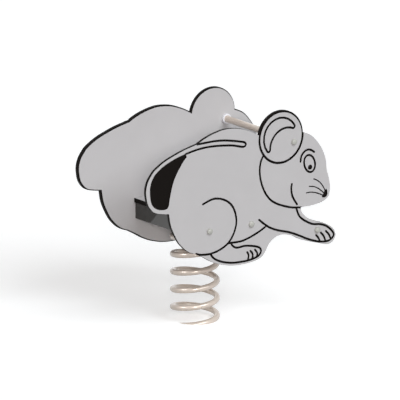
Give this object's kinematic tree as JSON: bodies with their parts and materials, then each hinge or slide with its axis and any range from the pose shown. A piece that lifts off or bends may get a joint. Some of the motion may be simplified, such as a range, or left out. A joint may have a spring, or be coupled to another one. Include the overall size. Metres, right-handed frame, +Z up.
{
  "type": "spring rider",
  "caption": "Mouse-shaped playground spring rider: sheet side panels with routed lines, seat on a steel tray, handle and foot bars, on a coil spring clamped to a buried base plate.",
  "frame": {"origin": "middle of the base plate's underside, on the spring's axis", "axes": "+X towards the mouse's head, +Y to the mouse's left, +Z up"},
  "size_m": [0.9215, 0.5104, 0.9654],
  "materials": {
    "layered_sheet": "grey polyethylene skins with a fine matt texture over a black core",
    "beige_powder_coat": "semi-gloss powder coat",
    "dark_powder_coat": "satin powder coat",
    "galvanised_steel": "dull hot-dip zinc",
    "zinc_fasteners": "bright zinc plate",
    "cap_plastic": "satin moulded",
    "collar_plastic": "smooth moulded"
  },
  "bodies": {
    "anchor": {"base_plate": "galvanised_steel", "lower_clip_studs": "zinc_fasteners", "lower_spring_clips": "galvanised_steel", "lower_clip_washers": "zinc_fasteners", "lower_clip_nuts": "zinc_fasteners"},
    "spring": {"coil_spring": "beige_powder_coat"},
    "rider": {"seat_tray": "dark_powder_coat", "upper_clip_studs": "zinc_fasteners", "upper_spring_clips": "galvanised_steel", "upper_clip_washers": "zinc_fasteners", "upper_clip_nuts": "zinc_fasteners", "seat_board": "layered_sheet", "seat_screws": "zinc_fasteners", "right_panel": "layered_sheet", "left_panel": "layered_sheet", "handle_tube": "beige_powder_coat", "handle_plugs": "zinc_fasteners", "handle_collars": "collar_plastic", "handle_bolts": "zinc_fasteners", "foot_bar": "beige_powder_coat", "foot_bar_plugs": "zinc_fasteners", "foot_bar_collars": "collar_plastic", "foot_bar_bolts": "zinc_fasteners", "seat_bolts": "zinc_fasteners", "seat_bolt_washers": "zinc_fasteners", "seat_bolt_nuts": "zinc_fasteners", "bolt_cap_bases": "cap_plastic", "bolt_caps": "cap_plastic"}
  },
  "joints": [
    {"name": "rock_fore_aft", "type": "hinge", "parent": "anchor", "child": "spring", "pos_m": [0, 0, 0.153], "axis": [0, 1, 0], "range_deg": [-20, 20], "stiffness_Nm_per_rad": 880, "springref_deg": -1.15, "deforming": ["coil_spring"]},
    {"name": "rock_sideways", "type": "hinge", "parent": "spring", "child": "rider", "pos_m": [0, 0, 0.4], "axis": [1, 0, 0], "range_deg": [-15, 15], "stiffness_Nm_per_rad": 880, "deforming": ["coil_spring"]}
  ]
}
